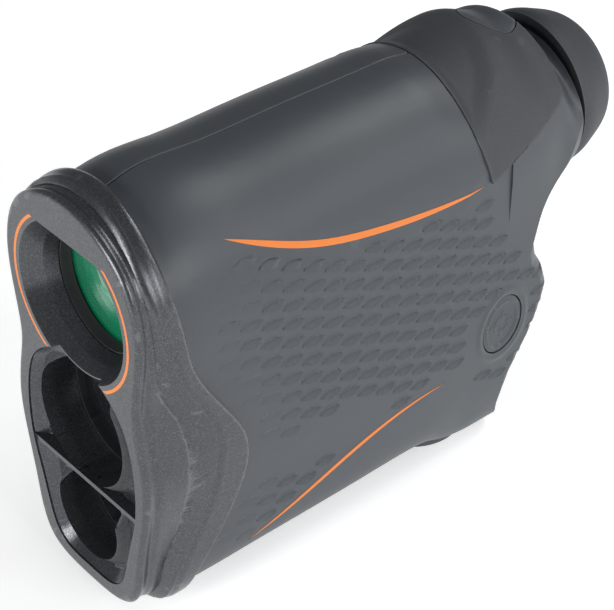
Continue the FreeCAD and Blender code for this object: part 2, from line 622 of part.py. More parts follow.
def make_frame():
    """Bulkhead round the tubes, side rails, and the shelf that carries the prisms."""
    plate = block((-FAR, BULKHEAD_Y, -2 * FAR), (FAR, BULKHEAD_Y + 1.8, FAR))
    plate = plate.common(casing_run(-WALL - 0.1))
    plate = plate.cut(cylinder_y(TUBE_RADIUS, 0, 2 * FAR))
    plate = plate.cut(cylinder_y(RECEIVER_TUBE, 0, 2 * FAR, RECEIVER_Z))
    plate = plate.cut(block((-EMITTER_TUBE, 0, -FAR), (EMITTER_TUBE, FAR, EMITTER_Z + EMITTER_TUBE)))
    shelf = block((-11 * KX, SHELF_Y, SHELF_TOP - 1.4), (11 * KX, PRISM_BACK, SHELF_TOP))
    rails = []
    for side in (-1, 1):
        low = min(side * 11 * KX, side * 13.2 * KX)
        rails.append(block((low, BULKHEAD_Y, SHELF_TOP - 1.4), (low + 2.2 * KX, PRISM_BACK, SHELF_TOP)))
    cradle = block((-8.0, PRISM_FRONT, SHELF_TOP), (8.0, PRISM_BACK, -9.0))
    keep("optics_frame", plate.fuse([shelf, cradle] + rails))


def make_prisms():
    """Half prism and roof prism with a thin gap of air between them."""
    middle = (PRISM_FRONT + PRISM_BACK) / 2
    first = [(PRISM_FRONT, -9.0), (PRISM_FRONT, 7.5), (middle - 3.5, 7.5), (middle + 2.5, -9.0)]
    second = [(middle + 3.1, -9.0), (middle - 2.9, 7.5), (PRISM_BACK - 4.0, 7.5), (PRISM_BACK, 2.0),
              (PRISM_BACK, -9.0)]
    keep("half_prism", side_prism(first, -7.5, 7.5))
    keep("roof_prism", side_prism(second, -7.5, 7.5))


def make_eyepiece():
    tube = cylinder_y(EYE_TUBE_RADIUS, EYE_TUBE_FRONT, EYE_TUBE_BACK)
    tube = tube.cut(cylinder_y(EYE_BORE_RADIUS, EYE_TUBE_FRONT + 1.2, 2 * FAR))
    tube = tube.cut(block((-4.6, 0, -4.6), (4.6, 2 * FAR, 4.6)))
    keep("eyepiece_tube", tube)
    keep("display_panel", block((-5.6, EYE_TUBE_FRONT - 1.2, -5.6), (5.6, EYE_TUBE_FRONT, 5.6)))
    cell_front = 80.5 * KY
    cell_back = 91.5 * KY
    cell_radius = EYE_BORE_RADIUS - RUN_CLEARANCE
    seat = EYE_LENS_RADIUS + LENS_CLEARANCE
    cell = cylinder_y(cell_radius, cell_front, cell_back)
    cell = cell.cut(cylinder_y(seat, cell_front + 1.0, cell_back + 1))
    cell = cell.cut(cylinder_y(seat - 1.0, cell_front - 1, cell_back))
    keep("eye_lens_cell", cell)
    keep("eye_lens", lens(EYE_LENS_RADIUS, cell_front + 1.0, cell_front + 7.5, 1.6))
    ring_inner = EYE_TUBE_RADIUS + RUN_CLEARANCE
    ring_outer = ring_inner + 0.9
    keep("dioptre_ring", tube_y(ring_outer, ring_inner, CUP_Y, RING_BACK))
    back = LENGTH
    profile = [(12.9, CUP_Y), (13.0, CUP_Y + 0.9), (12.6, CUP_Y + 2.9), (11.9, CUP_Y + 4.7),
               (11.1, CUP_Y + 6.6), (10.4, CUP_Y + 7.8), (9.5, back)]
    edge = Part.BSplineCurve()
    edge.interpolate([V(r, y, 0) for r, y in profile])
    corners = [V(profile[-1][0], back, 0), V(0, back, 0), V(0, CUP_Y, 0), V(profile[0][0], CUP_Y, 0)]
    edges = [edge.toShape()]
    for start, end in zip(corners, corners[1:]):
        edges.append(Part.makeLine(start, end))
    cup = Part.Face(Part.Wire(edges)).revolve(V(0, 0, 0), V(0, 1, 0), 360)
    cup = cup.cut(cylinder_y(ring_outer, 0, RING_BACK))
    cup = cup.cut(cylinder_y(ring_inner, 0, EYE_TUBE_BACK + 0.1)).cut(cylinder_y(EYECUP_HOLE, 0, 2 * FAR))
    keep("eyecup", cup)


# ---------------------------------------------------------------- electronics
def make_board():
    board = block((BOARD_X, BOARD_FRONT, BOARD_LOW), (BOARD_X + BOARD_THICKNESS, BOARD_BACK, BOARD_HIGH))
    for y, z, _ in SCREW_PLACES:
        board = board.cut(Part.makeCylinder(BOSS_RADIUS + 0.3, 2 * FAR, V(-FAR, y, z), V(1, 0, 0)))
    keep("main_board", board)
    face = BOARD_X + BOARD_THICKNESS
    half = SWITCH_SIZE / 2
    top = mode_inner_x() - 0.8 - MODE_TRAVEL - 0.1
    switch = block((face, MODE_Y - half, MODE_Z - half), (face + 0.6, MODE_Y + half, MODE_Z + half))
    dome = Part.makeCylinder(1.1, top - face, V(face, MODE_Y, MODE_Z), V(1, 0, 0))
    keep("mode_switch", switch.fuse(dome))
    base = EYE_TUBE_RADIUS
    body = block((-half, FIRE_Y - half, base), (half, FIRE_Y + half, base + 0.9))
    nub = cylinder_z(1.1, base, FIRE_BOTTOM - 1.4 - FIRE_TRAVEL - 0.1, FIRE_Y)
    keep("fire_switch", body.fuse(nub).cut(cylinder_y(EYE_TUBE_RADIUS, 0, 2 * FAR)))
    chips = [block((face, BOARD_FRONT + 4, -30 * KZ), (face + 1.0, BOARD_FRONT + 13, -21 * KZ)),
             block((face, BOARD_FRONT + 16, -28 * KZ), (face + 0.9, BOARD_FRONT + 21, -23 * KZ))]
    keep("board_chips", Part.makeCompound(chips))
    front = EYE_TUBE_FRONT - 0.9
    ribbon = block((-3.5, front, BOARD_HIGH - 3.5), (3.5, front + 0.3, -5.6))
    foot = block((-3.5, front, BOARD_HIGH - 3.5), (BOARD_X, front + 0.3, BOARD_HIGH - 0.5))
    keep("display_ribbon", ribbon.fuse(foot))


# ---------------------------------------------------------------- battery
def make_battery():
    tube = cylinder_z(BATTERY_TUBE_OUTER, TUBE_BOTTOM, TUBE_TOP, BATTERY_Y)
    tube = tube.cut(cylinder_z(BATTERY_TUBE_INNER, TUBE_BOTTOM - 1, TUBE_TOP - 0.8, BATTERY_Y))
    keep("battery_tube", tube)
    cell = cylinder_z(BATTERY_RADIUS, BATTERY_BOTTOM, BATTERY_TOP - 0.8, BATTERY_Y)
    nub = cylinder_z(2.6, BATTERY_TOP - 0.8, BATTERY_TOP, BATTERY_Y)
    keep("battery", cell.fuse(nub))
    turns = []
    level = BATTERY_TOP
    step = (TUBE_TOP - 0.8 - BATTERY_TOP) / 3
    for radius in (2.0, 3.0, 4.0):
        ring = cylinder_z(radius, level, level + step, BATTERY_Y)
        turns.append(ring.cut(cylinder_z(radius - 1.2, level - 1, level + 2 * step, BATTERY_Y)))
        level += step
    spring = turns[0].fuse(turns[1:])
    keep("battery_spring", spring)
    cap = cylinder_z(CAP_RADIUS, BASE_Z, CAP_TOP, BATTERY_Y)
    plug = BATTERY_TUBE_INNER - RUN_CLEARANCE
    cap = cap.fuse(cylinder_z(plug, CAP_TOP, BATTERY_BOTTOM, BATTERY_Y))
    tab_top = BASE_Z + TAB_THICKNESS
    recess = cylinder_z(tab_radius() + TAB_GAP, BASE_Z - 1, tab_top + TAB_GAP, BATTERY_Y)
    behind_hinge = block((-FAR, BATTERY_Y - FAR, -2 * FAR), (FAR, BATTERY_Y + 0.45 + TAB_GAP, 0))
    cap = cap.cut(recess.common(behind_hinge))
    groove = tube_z(plug + 1, plug - 0.5, CAP_TOP + 0.5, CAP_TOP + 1.0)
    keep("battery_cap", cap.cut(groove))
    keep("cap_seal", tube_z(plug, plug - 0.5, CAP_TOP + 0.5, CAP_TOP + 1.0))
    tab = cylinder_z(tab_radius(), BASE_Z, tab_top, BATTERY_Y)
    tab = tab.common(block((-FAR, BATTERY_Y - FAR, -2 * FAR), (FAR, BATTERY_Y, 0)))
    knuckle = Part.makeCylinder(0.45, 2 * tab_radius() - 1.0,
                                V(0.5 - tab_radius(), BATTERY_Y, BASE_Z + 0.45), V(1, 0, 0))
    keep("cap_tab", tab.fuse(knuckle))


def tab_radius():
    return CAP_RADIUS - 1.6


def tube_z(outer, inner, bottom, top):
    body = cylinder_z(outer, bottom, top, BATTERY_Y)
    return body.cut(cylinder_z(inner, bottom - 1, top + 1, BATTERY_Y))


# ---------------------------------------------------------------- build and export
def main():
    make_bezel()
    make_trim()
    make_casing()
    make_screws()
    make_lanyard_loop()
    make_optics()
    make_sensor("receiver_sensor", RECEIVER_TUBE - THIN_TUBE_WALL, RECEIVER_BACK, RECEIVER_Z)
    make_sensor("laser_diode", EMITTER_TUBE - THIN_TUBE_WALL, EMITTER_BACK, EMITTER_Z)
    make_frame()
    make_prisms()
    make_eyepiece()
    make_board()
    make_battery()
    os.makedirs("parts", exist_ok=True)
    for name, shape in PIECES.items():
        moved = shape.copy()
        moved.translate(V(0, -LENGTH / 2, HEEL_DEPTH))
        moved.exportStep(os.path.join("parts", name + ".step"))
        print(name, "solids", len(moved.Solids), "volume", round(moved.Volume, 1))


main()
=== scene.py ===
import bpy, bmesh, json, math
import numpy as np
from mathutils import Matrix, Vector
from mathutils.kdtree import KDTree


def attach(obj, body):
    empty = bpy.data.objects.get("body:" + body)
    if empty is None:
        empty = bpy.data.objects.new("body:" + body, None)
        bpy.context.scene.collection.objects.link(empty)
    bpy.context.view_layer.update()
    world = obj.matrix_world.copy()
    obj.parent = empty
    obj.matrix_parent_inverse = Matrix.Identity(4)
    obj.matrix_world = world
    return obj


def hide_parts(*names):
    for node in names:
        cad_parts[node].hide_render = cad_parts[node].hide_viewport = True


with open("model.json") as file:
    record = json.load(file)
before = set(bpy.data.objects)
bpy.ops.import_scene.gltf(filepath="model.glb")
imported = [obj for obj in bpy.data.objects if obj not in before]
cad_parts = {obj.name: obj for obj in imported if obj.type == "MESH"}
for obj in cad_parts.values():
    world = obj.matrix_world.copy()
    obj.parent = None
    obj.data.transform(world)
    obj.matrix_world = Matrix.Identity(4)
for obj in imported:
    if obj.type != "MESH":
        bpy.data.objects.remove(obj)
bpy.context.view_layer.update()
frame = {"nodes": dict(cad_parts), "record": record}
nodes = frame["nodes"]
MM = 0.001
# the axis of the optics in the shared frame, millimetres
axisShift = (0.0, -48.5, 54.6)


def say(text):
    print("stage:", text)


# shared node groups
def newGroup(name, ins, outs):
    g = bpy.data.node_groups.new(name, "ShaderNodeTree")
    for label, kind, value in ins:
        s = g.interface.new_socket(label, in_out="INPUT", socket_type=kind)
        if value is not None:
            s.default_value = value
    for label, kind in outs:
        g.interface.new_socket(label, in_out="OUTPUT", socket_type=kind)
    return g, g.nodes.new("NodeGroupInput"), g.nodes.new("NodeGroupOutput")


def mathNode(g, op, a, b=None, clamp=False):
    n = g.nodes.new("ShaderNodeMath")
    n.operation = op
    n.use_clamp = clamp
    for k, v in enumerate((a, b)):
        if v is None:
            continue
        if isinstance(v, (int, float)):
            n.inputs[k].default_value = v
        else:
            g.links.new(v, n.inputs[k])
    return n.outputs[0]


def noiseNode(g, vec, scale, detail=2.0, rough=0.5):
    n = g.nodes.new("ShaderNodeTexNoise")
    n.inputs["Detail"].default_value = detail
    n.inputs["Roughness"].default_value = rough
    g.links.new(vec, n.inputs["Vector"])
    if isinstance(scale, (int, float)):
        n.inputs["Scale"].default_value = scale
    else:
        g.links.new(scale, n.inputs["Scale"])
    return n.outputs["Fac"]


def grainGroup():
    # Fine pits, broad drift and faint handling marks, from object coordinates.
    g, gi, go = newGroup("moulded grain",
                         [("Vector", "NodeSocketVector", None), ("Scale", "NodeSocketFloat", 3000.0)],
                         [("Fine", "NodeSocketFloat"), ("Drift", "NodeSocketFloat"),
                          ("Marks", "NodeSocketFloat")])
    fine = noiseNode(g, gi.outputs["Vector"], gi.outputs["Scale"], 3.0, 0.6)
    drift = noiseNode(g, gi.outputs["Vector"], 60.0, 4.0, 0.55)
    stretch = g.nodes.new("ShaderNodeMapping")
    stretch.inputs["Scale"].default_value = (9.0, 1.2, 5.0)
    stretch.inputs["Rotation"].default_value = (0.3, 0.5, 0.2)
    g.links.new(gi.outputs["Vector"], stretch.inputs["Vector"])
    marks = noiseNode(g, stretch.outputs[0], 190.0, 5.0, 0.75)
    marks = mathNode(g, "POWER", marks, 4.0)
    g.links.new(fine, go.inputs["Fine"])
    g.links.new(drift, go.inputs["Drift"])
    g.links.new(marks, go.inputs["Marks"])
    return g


def flakeGroup():
    # Small bright flakes set in dark paint.
    g, gi, go = newGroup("paint flake",
                         [("Vector", "NodeSocketVector", None), ("Scale", "NodeSocketFloat", 4500.0)],
                         [("Flake", "NodeSocketFloat"), ("Tone", "NodeSocketFloat")])
    v = g.nodes.new("ShaderNodeTexVoronoi")
    g.links.new(gi.outputs["Vector"], v.inputs["Vector"])
    g.links.new(gi.outputs["Scale"], v.inputs["Scale"])
    sep = g.nodes.new("ShaderNodeSeparateColor")
    g.links.new(v.outputs["Color"], sep.inputs[0])
    flake = mathNode(g, "POWER", sep.outputs[0], 6.0)
    g.links.new(flake, go.inputs["Flake"])
    g.links.new(sep.outputs[1], go.inputs["Tone"])
    return g


def highlightDustGroup():
    # Painted highlight on convex edges and dust held in hollows, both from the shape's pointiness.
    g, gi, go = newGroup("painted edge highlight and dust", [("Amount", "NodeSocketFloat", 1.0)],
                         [("Highlight", "NodeSocketFloat"), ("Dust", "NodeSocketFloat")])
    geo = g.nodes.new("ShaderNodeNewGeometry")
    p = geo.outputs["Pointiness"]
    e = mathNode(g, "MULTIPLY", mathNode(g, "SUBTRACT", p, 0.52), 14.0, True)
    d = mathNode(g, "MULTIPLY", mathNode(g, "SUBTRACT", 0.48, p), 14.0, True)
    g.links.new(mathNode(g, "MULTIPLY", e, gi.outputs["Amount"]), go.inputs["Highlight"])
    g.links.new(mathNode(g, "MULTIPLY", d, gi.outputs["Amount"]), go.inputs["Dust"])
    return g


grain = grainGroup()
flake = flakeGroup()
edges = highlightDustGroup()


def mixColour(t, fac, a, b):
    n = t.nodes.new("ShaderNodeMix")
    n.data_type = "RGBA"
    for k, v in ((0, fac), (6, a), (7, b)):
        if isinstance(v, tuple):
            n.inputs[k].default_value = v
        elif isinstance(v, (int, float)):
            n.inputs[k].default_value = v
        else:
            t.links.new(v, n.inputs[k])
    return n.outputs[2]


def rgba(c, k=1.0):
    return (c[0] * k, c[1] * k, c[2] * k, 1.0)


def finish(name, s):
    # A painted, moulded or rubbed surface from a settings dictionary.
    m = bpy.data.materials.new(name)
    m.use_nodes = True
    t = m.node_tree
    b = t.nodes["Principled BSDF"]
    co = t.nodes.new("ShaderNodeTexCoord").outputs["Object"]
    gr = t.nodes.new("ShaderNodeGroup")
    gr.node_tree = grain
    gr.inputs["Scale"].default_value = s.get("grainScale", 3000.0)
    t.links.new(co, gr.inputs["Vector"])
    ed = t.nodes.new("ShaderNodeGroup")
    ed.node_tree = edges
    ed.inputs["Amount"].default_value = s.get("edge", 0.4)
    c = s["colour"]
    drift = s.get("drift", 0.12)
    col = mixColour(t, gr.outputs["Drift"], rgba(c, 1.0 - drift), rgba(c, 1.0 + drift))
    speck = mathNode(t, "MULTIPLY", mathNode(t, "SUBTRACT", gr.outputs["Fine"], 0.5), s.get("speckle", 0.5))
    hsv = t.nodes.new("ShaderNodeHueSaturation")
    t.links.new(mathNode(t, "ADD", speck, 1.0), hsv.inputs["Value"])
    t.links.new(col, hsv.inputs["Color"])
    col = hsv.outputs[0]
    height = gr.outputs["Fine"]
    roughDrift = s.get("roughDrift", 0.12)
    rough = mathNode(t, "MULTIPLY", gr.outputs["Drift"], roughDrift)
    rough = mathNode(t, "ADD", rough, s["rough"] - roughDrift / 2)
    marks = mathNode(t, "MULTIPLY", gr.outputs["Marks"], s.get("marks", 0.25))
    rough = mathNode(t, "SUBTRACT", rough, marks, True)
    if s.get("flake", 0.0) > 0:
        fl = t.nodes.new("ShaderNodeGroup")
        fl.node_tree = flake
        fl.inputs["Scale"].default_value = s.get("flakeScale", 4500.0)
        t.links.new(co, fl.inputs["Vector"])
        amount = mathNode(t, "MULTIPLY", fl.outputs["Flake"], s["flake"])
        col = mixColour(t, amount, col, rgba(s.get("flakeColour", (0.5, 0.52, 0.55))))
        height = mathNode(t, "ADD", height, mathNode(t, "MULTIPLY", fl.outputs["Tone"], 0.6))
        metal = mathNode(t, "MULTIPLY", fl.outputs["Tone"], 0.25)
        t.links.new(mathNode(t, "ADD", metal, s.get("metal", 0.0)), b.inputs["Metallic"])
    else:
        b.inputs["Metallic"].default_value = s.get("metal", 0.0)
    # Painted highlight: convex edges are mixed towards a lighter colour.
    paintedHighlight = mathNode(t, "MULTIPLY", ed.outputs["Highlight"], s.get("highlightAmount", 0.35))
    col = mixColour(t, paintedHighlight, col, rgba(s.get("highlightColour", (0.35, 0.36, 0.38))))
    dust = mathNode(t, "MULTIPLY", ed.outputs["Dust"], s.get("dust", 0.0))
    col = mixColour(t, dust, col, rgba((0.4, 0.38, 0.34)))
    # Painted shade: a stored weight darkens the colour to a near-black copy along leaf recess edges and in
    # the seam groove.
    if "creaseShade" in s:
        creaseShade = t.nodes.new("ShaderNodeAttribute")
        creaseShade.attribute_name = "creaseShade"
        dark = mathNode(t, "MULTIPLY", creaseShade.outputs["Fac"], s["creaseShade"], True)
        col = mixColour(t, dark, col, rgba(c, 0.06))
    t.links.new(col, b.inputs["Base Color"])
    t.links.new(rough, b.inputs["Roughness"])
    bump = t.nodes.new("ShaderNodeBump")
    bump.inputs["Strength"].default_value = s.get("bump", 0.3)
    bump.inputs["Distance"].default_value = s.get("bumpDepth", 0.00004)
    t.links.new(height, bump.inputs["Height"])
    t.links.new(bump.outputs[0], b.inputs["Normal"])
    b.inputs["Specular IOR Level"].default_value = s.get("spec", 0.5)
    b.inputs["Coat Weight"].default_value = s.get("coat", 0.0)
    b.inputs["Coat Roughness"].default_value = s.get("coatRough", 0.15)
    b.inputs["Emission Color"].default_value = (0, 0, 0, 1)
    return m


def glass(name, s):
    # Coated or clear glass with faint dust and a soft coating tint.
    m = bpy.data.materials.new(name)
    m.use_nodes = True
    t = m.node_tree
    b = t.nodes["Principled BSDF"]
    co = t.nodes.new("ShaderNodeTexCoord").outputs["Object"]
    gr = t.nodes.new("ShaderNodeGroup")
    gr.node_tree = grain
    gr.inputs["Scale"].default_value = 2200.0
    t.links.new(co, gr.inputs["Vector"])
    col = mixColour(t, gr.outputs["Drift"], rgba(s["colour"]), rgba(s["colour2"]))
    t.links.new(col, b.inputs["Base Color"])
    marks = mathNode(t, "MULTIPLY", gr.outputs["Marks"], 0.12)
    t.links.new(mathNode(t, "ADD", marks, s["rough"]), b.inputs["Roughness"])
    bump = t.nodes.new("ShaderNodeBump")
    bump.inputs["Strength"].default_value = 0.02
    bump.inputs["Distance"].default_value = 0.00002
    t.links.new(gr.outputs["Drift"], bump.inputs["Height"])
    t.links.new(bump.outputs[0], b.inputs["Normal"])
    b.inputs["Metallic"].default_value = s.get("metal", 0.0)
    b.inputs["Transmission Weight"].default_value = s.get("through", 0.0)
    b.inputs["IOR"].default_value = 1.52
    b.inputs["Coat Weight"].default_value = 1.0
    b.inputs["Coat Roughness"].default_value = 0.02
    # Painted glow: the coated glass emits a faint green light though it is no lamp.
    if "glow" in s:
        b.inputs["Emission Color"].default_value = rgba(s["glow"])
        b.inputs["Emission Strength"].default_value = s.get("glowPower", 0.0)
    return m


looks = {
    "bezel_plastic": finish("bezel paint", {
        "colour": (0.060, 0.064, 0.070), "rough": 0.29, "flake": 0.20, "metal": 0.6,
        "flakeScale": 9500.0, "grainScale": 8200.0, "speckle": 0.3, "bump": 0.10, "highlightAmount": 0.5,
        "highlightColour": (0.30, 0.31, 0.33), "marks": 0.2, "coat": 0.15, "coatRough": 0.3}),
    "casing_plastic": finish("casing satin", {
        "colour": (0.047, 0.055, 0.064), "rough": 0.44, "speckle": 0.10, "drift": 0.04, "bump": 0.10,
        "grainScale": 5200.0, "highlightAmount": 0.18, "highlightColour": (0.22, 0.24, 0.26), "marks": 0.25,
        "dust": 0.03, "creaseShade": 1.0}),
    "grip_rubber": finish("saddle rubber", {
        "colour": (0.038, 0.042, 0.048), "rough": 0.62, "speckle": 0.9, "drift": 0.05, "bump": 0.7,
        "bumpDepth": 0.00006, "grainScale": 4600.0, "highlightAmount": 0.15, "dust": 0.05}),
    "orange_inlay": finish("orange inlay", {
        "colour": (0.70, 0.175, 0.014), "rough": 0.45, "speckle": 0.08, "drift": 0.05, "bump": 0.1,
        "highlightAmount": 0.1, "highlightColour": (0.9, 0.4, 0.15), "dust": 0.0}),
    "button_rubber": finish("button rubber", {
        "colour": (0.050, 0.057, 0.066), "rough": 0.52, "speckle": 0.25, "bump": 0.3, "drift": 0.05,
        "grainScale": 4200.0}),
    "coated_glass": glass("coated objective", {
        "colour": (0.0, 0.09, 0.04), "colour2": (0.005, 0.22, 0.10), "rough": 0.03, "metal": 0.25,
        "glow": (0.0, 0.16, 0.07), "glowPower": 0.35}),
    "dark_glass": glass("dark window", {
        "colour": (0.006, 0.007, 0.008), "colour2": (0.012, 0.014, 0.016), "rough": 0.05}),
    "clear_glass": glass("clear glass", {
        "colour": (0.9, 0.95, 0.92), "colour2": (0.8, 0.9, 0.85), "rough": 0.02, "through": 0.85}),
    "black_plastic": finish("matt black", {
        "colour": (0.007, 0.007, 0.008), "rough": 0.5, "speckle": 0.4, "bump": 0.2, "highlightAmount": 0.1}),
    "tube_metal": finish("anodised tube", {
        "colour": (0.02, 0.021, 0.023), "rough": 0.4, "metal": 0.6, "speckle": 0.3}),
    "steel": finish("zinc plated steel", {
        "colour": (0.46, 0.46, 0.45), "rough": 0.32, "metal": 1.0, "speckle": 0.2}),
    "board_green": finish("board lacquer", {
        "colour": (0.02, 0.12, 0.05), "rough": 0.35, "speckle": 0.4}),
    "chip_black": finish("chip resin", {
        "colour": (0.02, 0.02, 0.022), "rough": 0.5, "speckle": 0.5}),
    "ribbon_amber": finish("ribbon film", {
        "colour": (0.45, 0.2, 0.04), "rough": 0.3, "speckle": 0.2}),
    "battery_wrap": finish("battery wrap", {
        "colour": (0.12, 0.16, 0.30), "rough": 0.3, "speckle": 0.15}),
    "seal_rubber": finish("seal rubber", {
        "colour": (0.02, 0.02, 0.02), "rough": 0.7, "speckle": 0.4}),
    "brass": finish("brass", {
        "colour": (0.62, 0.44, 0.16), "rough": 0.3, "metal": 1.0, "speckle": 0.2}),
}

slotOf = {}
for part in frame["record"]["subparts"]:
    slotOf[part["node"]] = part["material_slot"]
for name, ob in nodes.items():
    ob.data.materials.clear()
    ob.data.materials.append(looks[slotOf[name]])


# shape helpers
def smoothValue(stations, place):
    # Value of a profile at a place, by straight runs between its stations.
    pts = sorted(stations)
    return np.interp(place, [p[0] for p in pts], [p[1] for p in pts])


def flowing(stations, place):
    # Value of a profile at a place, with its corners eased over a few millimetres.
    dense = np.arange(-66.0, 28.0, 0.25)
    raw = smoothValue(stations, dense)
    window = np.hanning(17)
    soft = np.convolve(raw, window / window.sum(), mode="same")
    return np.interp(place, dense, soft)


def eased(t):
    t = np.clip(t, 0.0, 1.0)
    return t * t * (3 - 2 * t)


def placePiece(me, name, slotName, body, replaced=()):
    ob = bpy.data.objects.new(name, me)
    bpy.context.scene.collection.objects.link(ob)
    me.materials.clear()
    me.materials.append(looks[slotName])
    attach(ob, body)
    if replaced:
        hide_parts(*replaced)
    return ob


# casing halves with the leaf grip
grip = {
    "firstColumn": 1.5, "pitch": 3.9, "pitchDrop": 0.0105, "columns": 22,
    "rowDrop": 3.42, "slope": 0.457, "slopeBack": 0.425, "bend": 44.0, "start": (16.4, 6.8),
    "length": 4.35, "tilt": 0.03, "over": 0.62, "under": 0.95, "depth": 0.55, "lip": 0.08, "edge": 0.30,
    "seam": [(22.0, 6.7), (12.0, 5.9), (0.3, 7.2), (-6.7, 9.0), (-11.8, 11.7), (-16.6, 14.7),
             (-21.5, 17.5), (-26.5, 18.5), (-32.0, 17.5), (-38.8, 14.3), (-44.5, 10.6), (-60.0, 9.6)],
    "upper": [(10.0, 14.5), (17.0, 10.6), (21.8, 8.4), (31.8, 4.5), (43.0, 2.0), (54.7, 0.6), (63.8, 0.4)],
    "lower": [(12.0, -50.0), (20.0, -46.4), (26.6, -44.4), (34.0, -41.6), (41.7, -38.8), (49.7, -36.6),
              (59.0, -35.6)],
    "badge": (70.6, -29.4, 4.1, 5.6),
    "blank": ((22.0, -29.2), (45.5, -27.8), (46.0, -37.6), (23.5, -36.4)),
    "mesh": 0.60, "edgeMesh": 0.22, "seamHalf": 0.00024, "seamDepth": 0.32,
}


def insideBlank(y, z):
    q = grip["blank"]
    for (ya, za), (yb, zb) in zip(q, q[1:] + q[:1]):
        if (yb - ya) * (z - za) - (zb - za) * (y - ya) > 0:
            return False
    return True


def leafPlaces():
    # Front tips of the leaves: (y, z, strength), in rows that step down towards the back.
    out = []
    y0, z0 = grip["start"]
    bend = grip["bend"]
    by, bz, ry, rz = grip["badge"]
    for row in range(-4, 16):
        for k in range(grip["columns"]):
            y = grip["firstColumn"] + grip["pitch"] * k - grip["pitchDrop"] * max(0, k - 3) ** 2
            z = z0 - grip["slope"] * (min(y, bend) - y0) - grip["slopeBack"] * max(0.0, y - bend)
            z -= grip["rowDrop"] * row
            seam = float(smoothValue(grip["seam"], z + 0.5))
            if y < seam + 1.3 or z > 8.0 or z < -49.0:
                continue
            top = float(smoothValue(grip["upper"], y))
            low = float(smoothValue(grip["lower"], y + 1.0))
            if top - z < 2.7 or (y < 59 and z - low < 1.9):
                continue
            if y >= 59 and z < -36.0 and not (64.0 < y < 73.5 and z > -41.0):
                continue
            if (z > -20.0 and y > 62.5 + 0.6 * (-z - 3.0)) or y > 79.0:
                continue
            if insideBlank(y + 2.0, z):
                continue
            near = min(math.hypot((y + 2.2 * s - by) / (ry + 1.5), (z - bz) / (rz + 1.6))
                       for s in (0.2, 1.0, 1.8))
            if near < 1.0 or (61.0 < y < 75.5 and -38.0 < z < -24.5):
                continue
            strength = eased((y - seam - 2.5) / 12.0) * 0.82 + 0.18
            if z > -1:
                strength *= 0.30 + 0.70 * eased((y - 15.0) / 10.0)
            out.append((y, z, float(strength)))
    return out


leaves = leafPlaces()


def reliefDepth(y, z):
    # Depth of the grip relief in millimetres at places on the casing's flank.
    d = np.zeros_like(y)
    length, edge = grip["length"], grip["edge"]
    for ly, lz, strength in leaves:
        near = (y > ly - 0.4) & (y < ly + length + 0.4) & (z > lz - 1.6) & (z < lz + 1.6)
        if not near.any():
            continue
        p = (y[near] - ly) / length
        q = z[near] - lz - grip["tilt"] * (y[near] - ly)
        pc = np.clip(p, 0.0, 1.0)
        over = grip["over"] * np.sin(math.pi * pc ** 0.80)
        under = -grip["under"] * np.sin(math.pi * pc ** 1.25)
        ramp = np.clip((q - under) / np.maximum(over - under, 0.12), 0.0, 1.0)
        ends = eased(p / 0.10) * eased((1.0 - p) / 0.22)
        wall = 1.0 - eased((q - over + 0.05) / edge)
        soft = eased((q - under + 0.10) / 0.35)
        hollow = grip["depth"] * (0.22 + 0.78 * ramp ** 2.0) * wall * soft * ends
        lip = grip["lip"] * np.exp(-((q - over - edge) / 0.22) ** 2) * ends
        d[near] += strength * (hollow - lip)
    by, bz, ry, rz = grip["badge"]
    r = np.hypot((y - by) / ry, (z - bz) / rz)
    halo = (r > 1.0) & (r < 1.6)
    d[halo] -= 0.22 * np.exp(-((r[halo] - 1.20) / 0.13) ** 2)
    return d


def leafEdge(y, z, width):
    # How close a place lies to the sharp upper edge of a leaf, from 0 to 1.
    closeness = np.zeros_like(y)
    length = grip["length"]
    for ly, lz, strength in leaves:
        near = (y > ly - 0.4) & (y < ly + length + 0.4) & (z > lz - 1.6) & (z < lz + 1.6)
        if not near.any():
            continue
        p = (y[near] - ly) / length
        q = z[near] - lz - grip["tilt"] * (y[near] - ly)
        over = grip["over"] * np.sin(math.pi * np.clip(p, 0.0, 1.0) ** 0.80)
        ends = eased((p + 0.04) / 0.10) * eased((0.94 - p) / 0.25)
        line = strength * ends * np.exp(-((q - over - 0.06) / width) ** 2)
        closeness[near] = np.maximum(closeness[near], line)
    return closeness


def reliefMask(y, z):
    # Where the casing's flank needs a fine mesh.
    top = smoothValue(grip["upper"], y)
    low = smoothValue(grip["lower"], y)
    seam = smoothValue(grip["seam"], z)
    low = np.where(y > 59.0, -44.0, low)
    return (z < np.minimum(top - 0.9, 8.0)) & (z > low + 0.7) & (y > seam + 0.7)


def splitLong(bm, longest, want, rounds=8):
    # Halves every edge longer than the limit that touches a wanted face, until none is left.
    for step in range(rounds):
        bm.normal_update()
        bm.faces.ensure_lookup_table()
        spots = np.array([f.calc_center_median()[:] + f.normal[:] for f in bm.faces])
        places = spots[:, :3] / MM - np.array(axisShift)
        picked = np.nonzero(want(places, spots[:, 3:]))[0]
        long = {e for i in picked for e in bm.faces[i].edges if e.calc_length() > longest}
        if not long:
            break
        bmesh.ops.subdivide_edges(bm, edges=list(long), cuts=1, use_grid_fill=False)
        many = [f for f in bm.faces if len(f.verts) > 3]
        bmesh.ops.triangulate(bm, faces=many, quad_method="BEAUTY", ngon_method="BEAUTY")


def keepFacing(me):
    # Stores the drawn direction of every face corner, so that cutting the mesh finer keeps it round.
    values = np.empty(len(me.loops) * 3, dtype=np.float32)
    me.corner_normals.foreach_get("vector", values)
    me.attributes.new("facing", "FLOAT_VECTOR", "CORNER").data.foreach_set("vector", values)


def readFacing(me):
    values = np.empty(len(me.loops) * 3, dtype=np.float32)
    me.attributes["facing"].data.foreach_get("vector", values)
    values = values.reshape(-1, 3).astype(float)
    me.attributes.remove(me.attributes["facing"])
    return values / np.maximum(np.linalg.norm(values, axis=1, keepdims=True), 1e-9)


